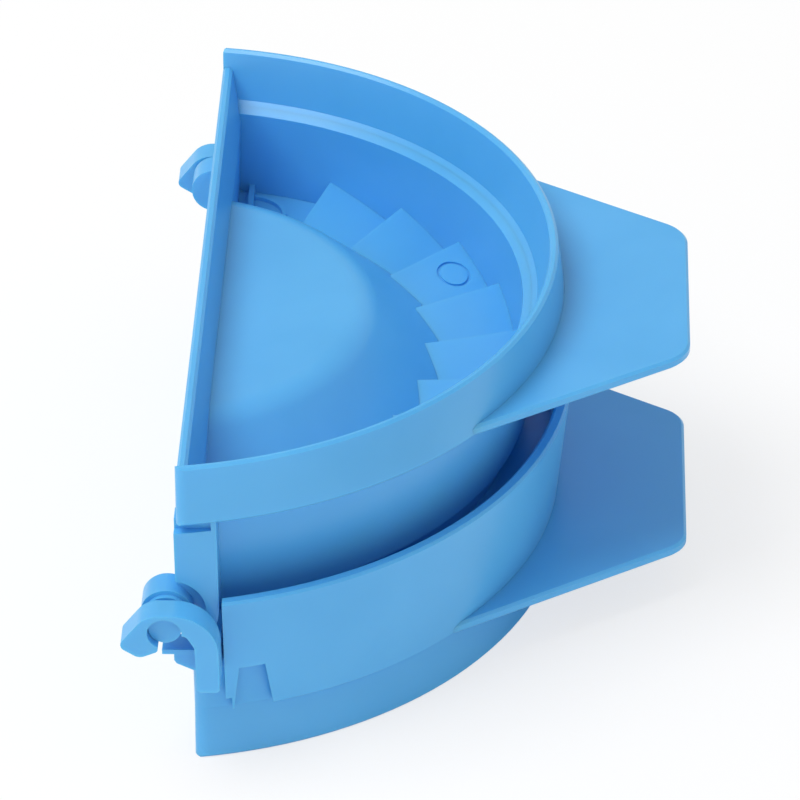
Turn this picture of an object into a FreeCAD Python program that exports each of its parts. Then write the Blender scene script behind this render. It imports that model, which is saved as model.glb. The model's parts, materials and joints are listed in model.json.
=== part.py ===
import FreeCAD, Part
import math
import os

os.makedirs("parts", exist_ok=True)

# Hand press for filled dough pockets: two moulded D-shaped halves that fold
# about pins at both ends of their straight side. Lengths in millimetres.
# The model is worked out about the upright axis of the round side, with +X
# towards the handles, and is moved to the middle of its base at the end.

# Levels above the table
rim_top = 39.3            # open rim of the upper half
bowl_top = 31.3           # outer face of the upper bowl's flat end
pleat_crest = 25.0        # level of the raised edges, tray side
hinge_height = 20.4       # pin axis
floor_top = 15.0          # floor of the channel that the cutting wall enters
bowl_floor = 12.0         # outer face of the lower bowl's flat end
collar_foot = 6.0

# Edges
edge_bevel = 0.3
edge_round = 0.4

# Upper half: cutting wall, and the rim above it
cutter_radius = 44.9      # outside, under the rim
cutter_floor_gap = 3.4    # its foot above the channel's floor
cutter_draft = 0.5        # the outside narrows downwards by this
cutter_top_wall = 1.0
cutter_foot_wall = 1.2
rim_height = 7.1
rim_overhang = 4.0        # step under the rim, from the cutting wall outwards
rim_flare = 0.9           # the rim narrows upwards by this
rim_wall = 0.9
rim_corner_round = 1.0
ledge_width = 1.7         # sloping ledge inside the rim
ledge_drop = 6.0
ledge_fall = 1.0

# Straight wall of the upper half
back_face = 6.2           # outer face, from the upright axis
back_drop = 2.1           # below the rim
back_top_wall = 1.1
back_wall = 2.2           # at the level of the bowl
back_foot_wall = 1.8
back_foot_rise = 1.2      # lower edge above the pin axis

# Bowls
bowl_flat = 25.5          # radius where the flat end turns down
bowl_flat_round = 5.0
bowl_cone_width = 13.1
bowl_cone_height = 12.2
bowl_wall = 1.8

# Pleated bands round the bowls
pleat_count = 9
pleat_pitch = 14.3        # degrees
pleat_first = 73.2        # heading of the first raised edge, degrees
pleat_swirl = 7.5         # the raised edges pass the upright axis at this distance
pleat_drop = 3.5          # fall of one pleat at the cutting wall
pleat_plate = 1.8
riser_wall = 1.2
riser_gap = 0.5           # play beside a riser when shut
dough_gap = 0.8           # left for the dough between the two bands
pad_gap = 1.0

# Marks inside the tray
mark_pleat = 2            # the pleat with the ring mark
mark_radius = 2.1
mark_line = 0.4
mark_depth = 0.25
mark_place = 40.2         # from the upright axis
mark_turn = 5.3           # degrees behind the raised edge
tab_offset = 3.1          # low fence on the level pads, from the straight wall's face
tab_wall = 0.7
tab_height = 1.1
tab_start = 36.0          # along the straight wall
tab_lip_radius = 4.9
tab_lip_wall = 0.5
tab_lip_height = 0.5

# Lower half
channel_gap = 3.3         # cutting wall to collar
collar_wall = 1.5
collar_rise = 1.5         # collar above the pin axis
collar_flare = 1.8
collar_step = 1.0         # collar's foot outside the skirt
collar_post_start = 6.2   # end of the collar, from the pin axis
collar_post_width = 0.7
collar_post_foot = 1.9    # above the collar's foot
skirt_flare = 1.3
skirt_wall = 1.6
skirt_corner_round = 1.3
floor_wall = 1.5
crimp_edge_gap = 0.6      # pleated block to the cutting wall
crimp_edge_wall = 1.6
lower_back_step = 1.1     # behind the face of the upper straight wall
lower_back_wall = 1.6
lower_back_drop = 1.1     # top edge under the pin axis

# Trapezoid windows low in the collar, beside the hooks
window_width = 4.7
window_height = 6.2
window_left_lean = 0.9
window_right_lean = 0.9

# Handles
handle_end = 63.3
handle_root = 38.4
handle_root_half = 30.0
handle_end_half = 13.9
handle_plate = 1.3
upper_handle_round = 5.0
lower_handle_round = 4.0

# Hinge pins, on legs of the upper half
hinge_set = 1.4           # pin axis outside the straight wall
pin_radius = 1.85
pin_play = 0.08
pin_recess = 1.1          # the pin ends this far inside the hook's face
leg_set = 1.1             # leg beside the pin axis
leg_width = 4.7
leg_foot_drop = 2.0
leg_inset = 0.5           # outer face inside the rim's edge
leg_slot_height = 1.2     # slot between leg and rim
leg_slot_post = 0.6
leg_slot_depth = 1.6
lug_inset = 1.9           # lug outside the cutting wall's foot
lug_thickness = 1.6
lug_radius = 2.9
lug_sweep = 4.4           # the leg is cut back round the lug by this radius
boss_radius = 2.4
boss_length = 0.6

# Hooks of the lower half, measured from the pin axis
hook_gap = 0.4            # boss to hook
hook_width = 3.3
hook_web = 0.4            # above the pin
hook_leg_left = 3.45
hook_leg_right = 5.95
hook_leg_foot = 7.85
hook_shoulder_round = 5.0
hook_brow = 2.1
hook_brow_round = 3.0
hook_tip_reach = 5.3
hook_tip_drop = 1.7
hook_tip_round = 0.8
hook_chin_reach = 2.9
hook_chin_drop = 3.25
hook_chin_round = 1.2
hook_jaw_reach = 0.75
hook_jaw_drop = 2.35
hook_jaw_round = 0.5
mouth_left_reach = 0.85
mouth_left_drop = 1.3
mouth_right_reach = 1.6
mouth_right_drop = 0.2
throat_reach = 2.45
throat_drop = 0.35
throat_round = 0.7
heel_reach = 3.3
heel_drop = 1.9
heel_round = 0.8
root_drop = 3.4           # top of the hook's root
shelf_left = 0.7          # thin shelf under the lug
shelf_drop = 5.1
shelf_plate = 0.6
shelf_depth = 3.1
shelf_web = 1.2
shelf_web_left = 0.6
shelf_web_drop = 2.8

# Working sizes
far = 2 * handle_end      # larger than the part, for cutting solids
over = 1.0                # overrun of cuts

step = rim_top - rim_height
ledge_top = rim_top - ledge_drop
ledge_foot = ledge_top - ledge_fall
rim_foot_radius = cutter_radius + rim_overhang
rim_radius = rim_foot_radius - rim_flare
rim_inner_top = rim_radius - rim_wall
cutter_depth = step - floor_top - cutter_floor_gap
cutter_foot = step - cutter_depth
cutter_foot_radius = cutter_radius - cutter_draft
cutter_inner = cutter_radius - cutter_top_wall
cutter_inner_foot = cutter_foot_radius - cutter_foot_wall
ledge_outer = cutter_inner + ledge_width
ledge_middle = ledge_foot + ledge_fall * cutter_top_wall / ledge_width

collar_top = hinge_height + collar_rise
collar_top_radius = cutter_radius + channel_gap + collar_wall
collar_foot_radius = collar_top_radius - collar_flare
skirt_neck = collar_foot_radius - collar_step
skirt_radius = skirt_neck + skirt_flare
crimp_radius = cutter_inner_foot - crimp_edge_gap
lower_back_face = back_face + lower_back_step
lower_back_top = hinge_height - lower_back_drop

bowl_lean_share = bowl_cone_width / bowl_cone_height
band_inner = bowl_flat + (bowl_top - pleat_crest) * bowl_lean_share
edge_length = math.sqrt(cutter_inner_foot ** 2 - pleat_swirl ** 2)
slope_share = pleat_drop / edge_length / math.sin(math.radians(pleat_pitch))
inner_reach = math.sqrt(band_inner ** 2 - pleat_swirl ** 2)
riser_shift = math.degrees(math.asin((riser_wall + riser_gap) / inner_reach))
shift_fall = slope_share * edge_length * math.sin(math.radians(riser_shift))
lower_crest = pleat_crest - pleat_plate - dough_gap - shift_fall
pad_top = pleat_crest - pleat_drop
lower_pad_top = pad_top - pleat_plate - pad_gap

hinge_x = back_face - hinge_set
back_foot = hinge_height + back_foot_rise
leg_left = hinge_x + leg_set
leg_right = leg_left + leg_width
lug_back = cutter_foot_radius + lug_inset
lug_front = lug_back + lug_thickness
boss_front = lug_front + boss_length
hook_inner = boss_front + hook_gap
hook_outer = hook_inner + hook_width
collar_end = hinge_x + collar_post_start


def vector(x, y, z):
    return FreeCAD.Vector(x, y, z)


def direction(angle):
    return vector(math.cos(math.radians(angle)), math.sin(math.radians(angle)), 0)


def outline(corners, place):
    """Closed wire through (a, b, size) corners, where place turns (a, b) into a point.

    A positive size rounds the corner by that radius, and a negative one bevels it by that reach.
    """
    starts, ends, middles = [], [], []
    for index, (a, b, size) in enumerate(corners):
        before, after = corners[index - 1], corners[(index + 1) % len(corners)]
        here = vector(a, b, 0)
        to_before = vector(before[0] - a, before[1] - b, 0).normalize()
        to_after = vector(after[0] - a, after[1] - b, 0).normalize()
        half = to_before.getAngle(to_after) / 2
        reach = size / math.tan(half) if size > 0 else -size
        starts.append(here + to_before * reach)
        ends.append(here + to_after * reach)
        towards = to_before + to_after
        if size > 0:
            middles.append(here + towards.normalize() * (size / math.sin(half) - size))
        else:
            middles.append(None)
    edges = []
    for index, middle in enumerate(middles):
        start, end, following = starts[index], ends[index], starts[(index + 1) % len(corners)]
        if middle is not None:
            arc = Part.Arc(place(start.x, start.y), place(middle.x, middle.y), place(end.x, end.y))
            edges.append(arc.toShape())
        elif start != end:
            edges.append(Part.LineSegment(place(start.x, start.y), place(end.x, end.y)).toShape())
        edges.append(Part.LineSegment(place(end.x, end.y), place(following.x, following.y)).toShape())
    return Part.Wire(edges)


def ring(corners, turn=180.0):
    """Solid of revolution of an outline of (radius, level, size) corners, about the +X side."""
    start = direction(turn / -2)
    wire = outline(corners, lambda a, b: vector(a * start.x, a * start.y, b))
    return Part.Face(wire).revolve(vector(0, 0, 0), vector(0, 0, 1), turn)


def drum(sides):
    """Full solid of revolution under a line of (radius, level) points."""
    corners = [(0, sides[0][1], 0)] + [(radius, level, 0) for radius, level in sides] + [(0, sides[-1][1], 0)]
    return ring(corners, 360.0)


def block(x0, x1, y0, y1, z0, z1):
    return Part.makeBox(x1 - x0, y1 - y0, z1 - z0, vector(x0, y0, z0))


def side_plate(corners, y0, y1):
    """Outline in X and Z, pushed along Y."""
    face = Part.Face(outline(corners, lambda a, b: vector(a, y0, b)))
    return face.extrude(vector(0, y1 - y0, 0))


def cross_rod(radius, y0, y1):
    """Rod on the pin axis."""
    return Part.makeCylinder(radius, y1 - y0, vector(hinge_x, y0, hinge_height), vector(0, 1, 0))


def beyond(shape, x):
    return shape.common(block(x, far, -far, far, -far, far))


def mirrored(shape):
    return shape.mirror(vector(0, 0, 0), vector(0, 1, 0))


def rounded_ends(shape, face_x, least, size):
    """Rounds the outer upright corners where a wall stops at the plane x = face_x."""
    def at_corner(edge):
        centre = edge.CenterOfMass
        upright = edge.BoundBox.ZLength > size
        return upright and abs(centre.x - face_x) < edge_bevel / 2 and math.hypot(centre.x, centre.y) > least

    return shape.makeFillet(size, [edge for edge in shape.Edges if at_corner(edge)])


def clockwise_of(heading):
    """Everything on the clockwise side of the line of a raised edge."""
    along, across = direction(heading), direction(heading - 90)
    start = across * pleat_swirl - along * far
    corners = [
        start,
        start + along * 2 * far,
        start + along * 2 * far + across * 2 * far,
        start + across * 2 * far,
    ]
    face = Part.Face(Part.makePolygon(corners + corners[:1]))
    return face.extrude(vector(0, 0, far)).fuse(face.extrude(vector(0, 0, -far)))


def pleat(heading, next_heading, crest, above, below):
    """Flat pleat that falls clockwise from its raised edge to the next one."""
    along, across = direction(heading), direction(heading - 90)
    width = far * math.sin(math.radians(heading - next_heading))
    foot = across * pleat_swirl
    fall = vector(0, 0, -slope_share * width)
    section = [
        foot + vector(0, 0, crest + above),
        foot + across * width + fall + vector(0, 0, crest + above),
        foot + across * width + fall + vector(0, 0, crest - below),
        foot + vector(0, 0, crest - below),
    ]
    slab = Part.Face(Part.makePolygon(section + section[:1])).extrude(along * far)
    return slab.cut(clockwise_of(next_heading))


def riser(heading, crest, foot_near, foot_far):
    """Upright wall under a raised edge; its foot runs between two levels along the edge."""
    along, across = direction(heading), direction(heading - 90)
    near = across * pleat_swirl
    reach = near + along * rim_foot_radius
    corners = [
        near + vector(0, 0, crest),
        reach + vector(0, 0, crest),
        reach + vector(0, 0, foot_far),
        near + vector(0, 0, foot_near),
    ]
    return Part.Face(Part.makePolygon(corners + corners[:1])).extrude(across * riser_wall)


def pleats(shift, crest, pad, above, below, risers=True):
    """All pleats with the level pads at both ends; the raised edges are turned clockwise by shift."""
    headings = [pleat_first - index * pleat_pitch for index in range(pleat_count + 1)]
    headings = [heading - shift for heading in headings[:-1]] + [headings[-1] + shift]
    level = block(-far, far, -far, far, pad - below, pad + above)
    solids = [level.cut(clockwise_of(headings[0])), level.common(clockwise_of(headings[-1]))]
    turn = math.radians(pleat_pitch)
    low_near = crest - below + slope_share * pleat_swirl * (1 - math.cos(turn))
    low_far = low_near - slope_share * rim_foot_radius * math.sin(turn)
    feet = [(pad - below, pad - below)] + [(low_near, low_far)] * (pleat_count - 1)
    for heading, next_heading, (foot_near, foot_far) in zip(headings, headings[1:], feet):
        solids.append(pleat(heading, next_heading, crest, above, below))
        if risers:
            under = pleat(heading, next_heading, crest, 0, far)
            solids.append(riser(heading, crest, foot_near, foot_far).common(under))
    return solids[0].multiFuse(solids[1:]).removeSplitter()


def bowl(sign, level, filled=False):
    """Bowl with its flat end at level; sign is 1 for one that opens downwards."""
    slope = math.atan2(bowl_cone_height, bowl_cone_width)
    foot = bowl_flat + bowl_cone_width
    foot_level = level - sign * bowl_cone_height
    outside = [
        (0, level, 0),
        (bowl_flat, level, bowl_flat_round),
        (foot, foot_level, 0),
    ]
    if filled:
        return ring(outside + [(0, foot_level, 0)])
    return ring(outside + [
        (foot - bowl_wall / math.sin(slope), foot_level, 0),
        (bowl_flat - bowl_wall * math.tan(slope / 2), level - sign * bowl_wall, bowl_flat_round - bowl_wall),
        (0, level - sign * bowl_wall, 0),
    ])


def handle(level, rounding):
    """Tapered thumb plate on the round side."""
    taper_share = (handle_root_half - handle_end_half) / (handle_end - handle_root)
    half = handle_root_half + taper_share * (handle_root - band_inner)
    corners = [
        (band_inner, -half, 0),
        (handle_end, -handle_end_half, rounding),
        (handle_end, handle_end_half, rounding),
        (band_inner, half, 0),
    ]
    face = Part.Face(outline(corners, lambda a, b: vector(a, b, level)))
    plate = face.extrude(vector(0, 0, handle_plate))
    rims = [edge for edge in plate.Edges if edge.BoundBox.ZLength < edge_bevel]
    rims = [edge for edge in rims if edge.BoundBox.XMax > band_inner + edge_bevel]
    return plate.makeChamfer(edge_bevel, rims)


# Upper half: rim, cutting wall and straight wall
rim = beyond(ring([
    (rim_inner_top, rim_top, -edge_bevel),
    (rim_radius, rim_top, -edge_bevel),
    (rim_foot_radius, step, -edge_bevel),
    (cutter_radius, step, 0),
    (cutter_radius, ledge_middle, 0),
    (ledge_outer, ledge_top, 0),
]), back_face)
rim = rounded_ends(rim, back_face, rim_inner_top, rim_corner_round)

cutter = beyond(ring([
    (cutter_radius, ledge_middle, 0),
    (cutter_radius, step, 0),
    (cutter_foot_radius, cutter_foot, -edge_bevel),
    (cutter_inner_foot, cutter_foot, -edge_bevel),
    (cutter_inner, ledge_foot, 0),
]), back_face)

inside = drum([
    (cutter_foot_radius, cutter_foot),
    (cutter_radius, step),
    (cutter_radius, ledge_middle),
    (ledge_outer, ledge_top),
    (rim_inner_top, rim_top),
])
upper_back = side_plate([
    (back_face, back_foot, -edge_bevel),
    (back_face, rim_top - back_drop, -edge_bevel),
    (back_face + back_top_wall, rim_top - back_drop, -edge_bevel),
    (back_face + back_wall, bowl_top, 0),
    (back_face + back_foot_wall, back_foot, -edge_bevel),
], -far, far).common(inside)
cutter = cutter.cut(upper_back)

# Upper half: bowl and pleated band
upper_core = bowl(1, bowl_top, True)
cutter_bore = drum([
    (cutter_inner_foot, cutter_foot),
    (cutter_inner, ledge_foot),
])
band_side = back_face + back_foot_wall / 2
upper_band = pleats(0, pleat_crest, pad_top, 0, pleat_plate)
upper_band = beyond(upper_band.common(cutter_bore).cut(upper_core), band_side).cut(upper_back)
upper_space = pleats(0, pleat_crest, pad_top, far, pleat_plate, False)
upper_bowl = beyond(bowl(1, bowl_top).common(upper_space), band_side).cut(upper_back)


def ring_mark():
    """Shallow ring, sunk square to its pleat."""
    edge = pleat_first - mark_pleat * pleat_pitch
    behind = edge - math.degrees(math.asin(pleat_swirl / mark_place)) - mark_turn
    across = direction(edge - 90)
    centre = direction(behind) * mark_place
    fall = centre.dot(across) - pleat_swirl
    normal = across * slope_share + vector(0, 0, 1)
    start = centre + vector(0, 0, pleat_crest - slope_share * fall) - normal * (mark_depth / normal.Length)
    disc = Part.makeCylinder(mark_radius, over, start, normal)
    return disc.cut(Part.makeCylinder(mark_radius - mark_line, over, start, normal))


def pad_fence():
    """Low fence and curved lip on the level pad beside the straight wall, on the +Y side."""
    left = back_face + tab_offset
    fence_start = tab_start - tab_lip_radius
    fence = block(left, left + tab_wall, fence_start, cutter_radius, pad_top, pad_top + tab_height)
    centre = vector(left, tab_start, pad_top)
    lip = Part.makeCylinder(tab_lip_radius, tab_lip_height, centre, vector(0, 0, 1), 90)
    lip = lip.cut(Part.makeCylinder(tab_lip_radius - tab_lip_wall, tab_lip_height, centre))
    fence = fence.fuse(lip).common(cutter_bore).cut(upper_core)
    return fence.cut(clockwise_of(pleat_first))


upper_band = upper_band.cut(ring_mark()).fuse(pad_fence()).removeSplitter()

rim_outside = drum([
    (rim_foot_radius, step),
    (rim_radius, rim_top),
])
upper_handle = handle(step, upper_handle_round).cut(rim_outside)


def hinge_leg():
    """Leg at the end of the straight wall with its lug, boss and pin, on the -Y side."""
    outer = rim_foot_radius - leg_inset
    inner = cutter_foot_radius / 2
    leg = block(leg_left, leg_right, -outer, -inner, hinge_height - leg_foot_drop, step)
    foot = cross_rod(leg_right - hinge_x, -outer, -inner)
    leg = leg.common(foot.fuse(block(leg_left, leg_right, -outer, -inner, hinge_height, step)))
    leg = leg.common(drum([(outer, -far), (outer, far)]))
    leg = leg.cut(cross_rod(lug_sweep, -outer - over, -lug_back))
    slot_left = leg_left - over
    slot_depth = outer - leg_slot_depth
    slot_foot = step - leg_slot_height
    slot = block(slot_left, leg_right - leg_slot_post, -outer - over, -slot_depth, slot_foot, step)
    pin_end = hook_outer - pin_recess
    solid = leg.cut(slot).multiFuse([
        cross_rod(lug_radius, -lug_front, -cutter_foot_radius),
        cross_rod(boss_radius, -boss_front, -lug_front),
        cross_rod(pin_radius, -pin_end, -boss_front),
    ])
    inside_wall = drum([(cutter_foot_radius, -far), (cutter_foot_radius, cutter_foot), (cutter_radius, step)])
    return solid.cut(inside_wall).cut(upper_back).removeSplitter()


front_leg = hinge_leg()

# Lower half: skirt, channel floor, collar and straight wall
skirt = beyond(ring([
    (skirt_radius - skirt_wall, 0, 0),
    (skirt_radius, 0, -edge_bevel),
    (skirt_neck, collar_foot, 0),
    (skirt_neck, floor_top, 0),
    (crimp_radius, floor_top, 0),
    (crimp_radius, floor_top - floor_wall, 0),
    (skirt_neck - skirt_wall, floor_top - floor_wall, 0),
    (skirt_neck - skirt_wall, collar_foot, 0),
]), lower_back_face)
skirt = rounded_ends(skirt, lower_back_face, skirt_neck - edge_bevel, skirt_corner_round)

collar_lean_share = collar_flare / (collar_top - collar_foot)
collar_at_floor = collar_foot_radius + collar_lean_share * (floor_top - collar_foot) - collar_wall
collar = beyond(ring([
    (skirt_neck, collar_foot, 0),
    (collar_foot_radius, collar_foot, -edge_bevel),
    (collar_top_radius, collar_top, -edge_bevel),
    (collar_top_radius - collar_wall, collar_top, -edge_bevel),
    (collar_at_floor, floor_top, 0),
    (skirt_neck, floor_top, 0),
]), collar_end)
window_left = collar_end + collar_post_width
window_right = window_left + window_width
window = side_plate([
    (window_left, collar_foot - over, 0),
    (window_left + window_left_lean, collar_foot + window_height, 0),
    (window_right - window_right_lean, collar_foot + window_height, 0),
    (window_right, collar_foot - over, 0),
], -far, far)
collar = collar.cut(window).cut(block(0, window_left, -far, far, 0, collar_foot + collar_post_foot))

lower_inside = drum([
    (skirt_radius - skirt_wall, 0),
    (skirt_neck - skirt_wall, collar_foot),
    (skirt_neck - skirt_wall, floor_top),
    (crimp_radius, floor_top),
    (crimp_radius, lower_back_top),
])
lower_side = lower_back_face + lower_back_wall
lower_back = block(lower_back_face, lower_side, -far, far, 0, lower_back_top)
lower_back = lower_back.common(lower_inside).cut(skirt)
skirt = skirt.cut(lower_back)

# Lower half: bowl and pleated block
lower_core = bowl(-1, bowl_floor, True)
crimp_bore = drum([(crimp_radius, -far), (crimp_radius, far)])
lower_band = pleats(riser_shift, lower_crest, lower_pad_top, 0, pleat_plate)
lower_mass = pleats(riser_shift, lower_crest, lower_pad_top, 0, far, False)
edge_inner = crimp_radius - crimp_edge_wall
edge_wall = drum([(crimp_radius, floor_top - floor_wall), (crimp_radius, rim_top)])
edge_wall = edge_wall.cut(drum([(edge_inner, 0), (edge_inner, far)])).common(lower_mass)
lower_band = lower_band.common(crimp_bore).cut(lower_core).fuse(edge_wall.cut(lower_core))
lower_band = beyond(lower_band, lower_side).removeSplitter()
lower_bowl = beyond(bowl(-1, bowl_floor).common(lower_mass), lower_side)

collar_outside = drum([
    (collar_foot_radius, collar_foot),
    (collar_top_radius, collar_top),
])
lower_handle = handle(collar_foot, lower_handle_round).cut(collar_outside)


def hinge_hook():
    """Open hook over the pin, rooted on the corner of the lower half, on the -Y side."""
    crest = pin_radius + pin_play + hook_web
    corners = [
        (hook_leg_left, -hook_leg_foot, -edge_bevel),
        (hook_leg_right, -hook_leg_foot, -edge_bevel),
        (hook_leg_right, crest, hook_shoulder_round),
        (-hook_brow, crest, hook_brow_round),
        (-hook_tip_reach, -hook_tip_drop, hook_tip_round),
        (-hook_chin_reach, -hook_chin_drop, hook_chin_round),
        (-hook_jaw_reach, -hook_jaw_drop, hook_jaw_round),
        (-mouth_left_reach, -mouth_left_drop, 0),
        (mouth_right_reach, -mouth_right_drop, 0),
        (throat_reach, -throat_drop, throat_round),
        (heel_reach, -heel_drop, heel_round),
    ]
    placed = [(hinge_x + a, hinge_height + b, size) for a, b, size in corners]
    hook = side_plate(placed, -hook_outer, -hook_inner)
    hook = hook.cut(cross_rod(pin_radius + pin_play, -hook_outer, -hook_inner))
    left, right = hinge_x + hook_leg_left, hinge_x + hook_leg_right
    root_foot = hinge_height - hook_leg_foot
    root = block(left, right, -hook_inner, -crimp_radius, root_foot, hinge_height - root_drop)
    shelf_top = hinge_height - shelf_drop
    shelf_foot = shelf_top - shelf_plate
    shelf_end = lug_front
    shelf = block(hinge_x - shelf_left, right, -shelf_end, -shelf_end + shelf_depth, shelf_foot, shelf_top)
    web_left = hinge_x + shelf_web_left
    web_foot = shelf_foot - shelf_web_drop
    web = side_plate([
        (left, web_foot, 0),
        (web_left, web_foot + shelf_web_drop / 2, -edge_bevel),
        (web_left, shelf_foot, 0),
        (left, shelf_foot, 0),
    ], -shelf_end + edge_round, -shelf_end + edge_round + shelf_web)
    solid = hook.multiFuse([root, shelf, web])
    solid = solid.cut(drum([(skirt_neck, 0), (skirt_neck, floor_top)]))
    return solid.cut(collar).removeSplitter()


front_hook = hinge_hook()

nodes = {
    "upper_rim_wall": rim,
    "upper_cutting_wall": cutter,
    "upper_back_wall": upper_back,
    "upper_bowl": upper_bowl,
    "upper_crimp_band": upper_band,
    "upper_handle": upper_handle,
    "hinge_pin_leg_front": front_leg,
    "hinge_pin_leg_rear": mirrored(front_leg),
    "base_skirt": skirt,
    "collar": collar,
    "lower_back_wall": lower_back,
    "lower_bowl": lower_bowl,
    "lower_crimp_band": lower_band,
    "lower_handle": lower_handle,
    "hinge_hook_front": front_hook,
    "hinge_hook_rear": mirrored(front_hook),
}

hook_tip = min(vertex.X for vertex in front_hook.Vertexes)
middle = (handle_end + hook_tip) / 2
for name, shape in nodes.items():
    shape.translate(vector(-middle, 0, 0))
    box = shape.BoundBox
    print(name, "solids", len(shape.Solids), "valid", shape.isValid(), "volume", round(shape.Volume, 1),
          "x", round(box.XMin, 2), round(box.XMax, 2), "y", round(box.YMin, 2), round(box.YMax, 2),
          "z", round(box.ZMin, 2), round(box.ZMax, 2))
    shape.exportStep("parts/" + name + ".step")
print("hinge axis x", round(hinge_x - middle, 3), "z", hinge_height)
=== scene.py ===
import bpy
import json
import math
from mathutils import Matrix, Vector

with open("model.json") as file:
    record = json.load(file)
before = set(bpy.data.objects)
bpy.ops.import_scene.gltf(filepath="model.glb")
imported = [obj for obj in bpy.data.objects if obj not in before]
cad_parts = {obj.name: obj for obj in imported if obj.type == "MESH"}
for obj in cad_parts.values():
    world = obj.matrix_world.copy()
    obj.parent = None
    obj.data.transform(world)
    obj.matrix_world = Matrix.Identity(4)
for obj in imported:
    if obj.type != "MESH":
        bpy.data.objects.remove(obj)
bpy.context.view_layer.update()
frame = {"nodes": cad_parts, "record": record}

# Camera: place, aim and roll of the photograph's view, in the part's frame
CAMERA_PLACE = Vector((0.01824, -0.55220, 0.37250))
CAMERA_AIM = Vector((0.00298, -0.14320, 0.10990))
CAMERA_ROLL = math.radians(-0.74)
CAMERA_LENS = 248.9
SENSOR_WIDTH = 36.0
CLIP_START = 0.01
CLIP_END = 20.0

# Plastic, linear colours; light spreads inside it over a millimetre or two
BLUE_DEEP = (0.085, 0.420, 0.800)
BLUE_PALE = (0.110, 0.470, 0.860)
DEEP_POSITION = 0.30
PALE_POSITION = 0.72
PLASTIC_IOR = 1.49
SPREAD_SHARE = 0.3
SPREAD_REACH = 0.0015
SPREAD_COLOUR = (0.35, 0.80, 1.0)
ROUGHNESS_LOW = 0.24
ROUGHNESS_HIGH = 0.36

# Flow marks and grain of the plastic
FLOW_SCALE = 42.0
FLOW_DETAIL = 3.0
FLOW_DISTORTION = 0.6
GRAIN_SCALE = 2600.0
GRAIN_DETAIL = 2.0
GRAIN_STRENGTH = 0.35
GRAIN_HEIGHT = 0.000012
SHIFT_DIRECTION = Vector((1.0, 0.7, 1.3))
UPPER_SHIFT = 0.13
LOWER_SHIFT = 0.57

# Floor, background and lamps
WHITE = (1.0, 1.0, 1.0, 1.0)
FLOOR_SIZE = 6.0
FLOOR_ROUGHNESS = 0.9
FLOOR_WHITE_SHARE = 0.7   # the rest of what the camera sees of the floor is its shading
WORLD_LEVEL = 0.56
SEEN_LEVEL = 1.0
LAMP_AIM = Vector((0.0, 0.0, 0.02))
LAMP_SIZE = 0.6
KEY_PLACE = Vector((-0.45, -0.15, 0.95))
KEY_POWER = 6.2
FILL_PLACE = Vector((0.35, -1.10, 0.22))
FILL_POWER = 1.2


def blue_plastic(name, shift):
    """Satin moulded plastic: slow flow marks in the colour and gloss, and a fine grain in the bump."""
    material = bpy.data.materials.new(name)
    material.use_nodes = True
    nodes, links = material.node_tree.nodes, material.node_tree.links
    nodes.clear()
    shader = nodes.new("ShaderNodeBsdfPrincipled")
    output = nodes.new("ShaderNodeOutputMaterial")
    place = nodes.new("ShaderNodeTexCoord")
    moved = nodes.new("ShaderNodeMapping")
    moved.inputs["Location"].default_value = SHIFT_DIRECTION * shift
    flow = nodes.new("ShaderNodeTexNoise")
    flow.inputs["Scale"].default_value = FLOW_SCALE
    flow.inputs["Detail"].default_value = FLOW_DETAIL
    flow.inputs["Distortion"].default_value = FLOW_DISTORTION
    tint = nodes.new("ShaderNodeValToRGB")
    tint.color_ramp.elements[0].position = DEEP_POSITION
    tint.color_ramp.elements[0].color = (*BLUE_DEEP, 1.0)
    tint.color_ramp.elements[1].position = PALE_POSITION
    tint.color_ramp.elements[1].color = (*BLUE_PALE, 1.0)
    grain = nodes.new("ShaderNodeTexNoise")
    grain.inputs["Scale"].default_value = GRAIN_SCALE
    grain.inputs["Detail"].default_value = GRAIN_DETAIL
    gloss = nodes.new("ShaderNodeMapRange")
    gloss.inputs["To Min"].default_value = ROUGHNESS_LOW
    gloss.inputs["To Max"].default_value = ROUGHNESS_HIGH
    bump = nodes.new("ShaderNodeBump")
    bump.inputs["Strength"].default_value = GRAIN_STRENGTH
    bump.inputs["Distance"].default_value = GRAIN_HEIGHT
    links.new(place.outputs["Object"], moved.inputs["Vector"])
    links.new(moved.outputs["Vector"], flow.inputs["Vector"])
    links.new(moved.outputs["Vector"], grain.inputs["Vector"])
    links.new(flow.outputs["Fac"], tint.inputs["Fac"])
    links.new(tint.outputs["Color"], shader.inputs["Base Color"])
    links.new(flow.outputs["Fac"], gloss.inputs["Value"])
    links.new(gloss.outputs["Result"], shader.inputs["Roughness"])
    links.new(grain.outputs["Fac"], bump.inputs["Height"])
    links.new(bump.outputs["Normal"], shader.inputs["Normal"])
    shader.inputs["IOR"].default_value = PLASTIC_IOR
    shader.inputs["Subsurface Weight"].default_value = SPREAD_SHARE
    shader.inputs["Subsurface Scale"].default_value = SPREAD_REACH
    shader.inputs["Subsurface Radius"].default_value = SPREAD_COLOUR
    links.new(shader.outputs["BSDF"], output.inputs["Surface"])
    return material


def dress_nodes():
    """One moulding, one material: each half keeps its own flow marks."""
    plastic = {
        "upper_half": blue_plastic("blue_plastic_upper", UPPER_SHIFT),
        "lower_half": blue_plastic("blue_plastic_lower", LOWER_SHIFT),
    }
    bodies = frame["record"]["behaviour"]["bodies"]
    for body, members in bodies.items():
        for name in members:
            node = frame["nodes"][name]
            node.data.materials.clear()
            node.data.materials.append(plastic[body])


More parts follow.
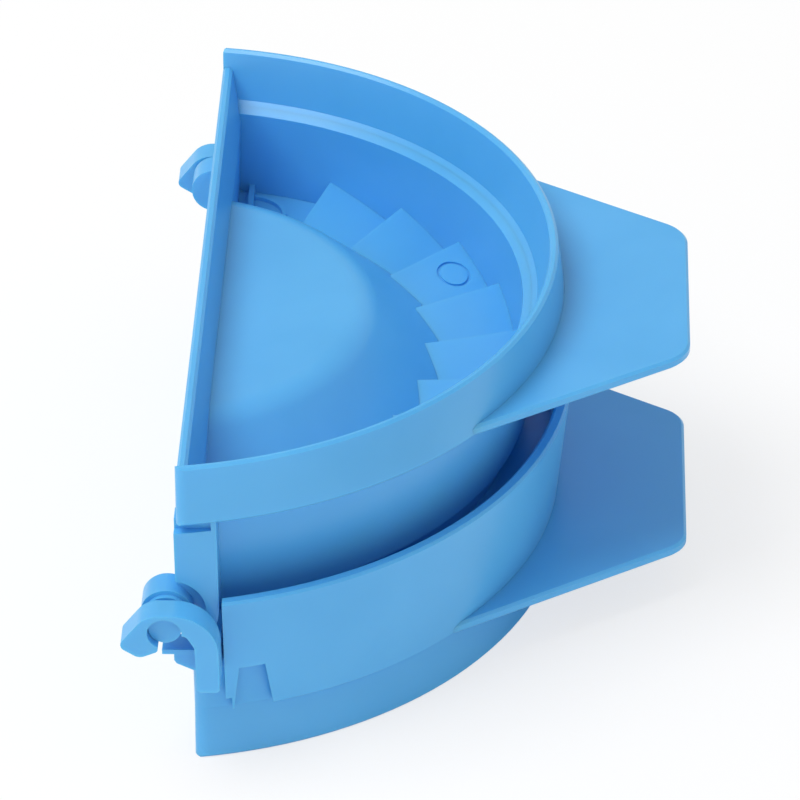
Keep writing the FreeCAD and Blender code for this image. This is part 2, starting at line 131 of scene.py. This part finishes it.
def add_camera():
    data = bpy.data.cameras.new("camera")
    data.sensor_width = SENSOR_WIDTH
    data.lens = CAMERA_LENS
    data.clip_start = CLIP_START
    data.clip_end = CLIP_END
    camera = bpy.data.objects.new("camera", data)
    ahead = (CAMERA_AIM - CAMERA_PLACE).normalized()
    right = ahead.cross(Vector((0, 0, 1))).normalized()
    up = right.cross(ahead)
    turn = Matrix.Rotation(CAMERA_ROLL, 3, -ahead)
    right, up = turn @ right, turn @ up
    camera.matrix_world = Matrix((
        (right.x, up.x, -ahead.x, CAMERA_PLACE.x),
        (right.y, up.y, -ahead.y, CAMERA_PLACE.y),
        (right.z, up.z, -ahead.z, CAMERA_PLACE.z),
        (0, 0, 0, 1),
    ))
    bpy.context.scene.collection.objects.link(camera)
    bpy.context.scene.camera = camera


def whiter_to_camera(tree, surface, share):
    """The shader, mixed with plain white by share for the camera's own rays, so that its shadows stay."""
    nodes, links = tree.nodes, tree.links
    path = nodes.new("ShaderNodeLightPath")
    part = nodes.new("ShaderNodeMath")
    part.operation = "MULTIPLY"
    part.inputs[1].default_value = share
    plain = nodes.new("ShaderNodeEmission")
    plain.inputs["Color"].default_value = WHITE
    mix = nodes.new("ShaderNodeMixShader")
    links.new(path.outputs["Is Camera Ray"], part.inputs[0])
    links.new(part.outputs["Value"], mix.inputs["Fac"])
    links.new(surface.outputs["BSDF"], mix.inputs[1])
    links.new(plain.outputs["Emission"], mix.inputs[2])
    links.new(mix.outputs["Shader"], nodes["Material Output"].inputs["Surface"])


def add_floor():
    half = FLOOR_SIZE / 2
    mesh = bpy.data.meshes.new("floor")
    corners = [(-half, -half, 0), (half, -half, 0), (half, half, 0), (-half, half, 0)]
    mesh.from_pydata(corners, [], [(0, 1, 2, 3)])
    floor = bpy.data.objects.new("floor", mesh)
    bpy.context.scene.collection.objects.link(floor)
    material = bpy.data.materials.new("floor")
    material.use_nodes = True
    shader = material.node_tree.nodes["Principled BSDF"]
    shader.inputs["Base Color"].default_value = WHITE
    shader.inputs["Roughness"].default_value = FLOOR_ROUGHNESS
    whiter_to_camera(material.node_tree, shader, FLOOR_WHITE_SHARE)
    mesh.materials.append(material)


def add_world():
    """Even white light, and a plain white background for the camera's own rays."""
    world = bpy.data.worlds.new("studio")
    bpy.context.scene.world = world
    world.use_nodes = True
    nodes, links = world.node_tree.nodes, world.node_tree.links
    nodes.clear()
    output = nodes.new("ShaderNodeOutputWorld")
    light = nodes.new("ShaderNodeBackground")
    light.inputs["Color"].default_value = WHITE
    light.inputs["Strength"].default_value = WORLD_LEVEL
    seen = nodes.new("ShaderNodeBackground")
    seen.inputs["Color"].default_value = WHITE
    seen.inputs["Strength"].default_value = SEEN_LEVEL
    path = nodes.new("ShaderNodeLightPath")
    mix = nodes.new("ShaderNodeMixShader")
    links.new(path.outputs["Is Camera Ray"], mix.inputs["Fac"])
    links.new(light.outputs["Background"], mix.inputs[1])
    links.new(seen.outputs["Background"], mix.inputs[2])
    links.new(mix.outputs["Shader"], output.inputs["Surface"])


def add_lamp(name, place, power):
    data = bpy.data.lights.new(name, "AREA")
    data.shape = "SQUARE"
    data.size = LAMP_SIZE
    data.energy = power
    lamp = bpy.data.objects.new(name, data)
    lamp.location = place
    lamp.rotation_euler = (LAMP_AIM - place).to_track_quat("-Z", "Y").to_euler()
    bpy.context.scene.collection.objects.link(lamp)


add_camera()
dress_nodes()
add_floor()
add_world()
add_lamp("key", KEY_PLACE, KEY_POWER)
add_lamp("fill", FILL_PLACE, FILL_POWER)

bpy.context.scene.view_settings.view_transform = "Standard"
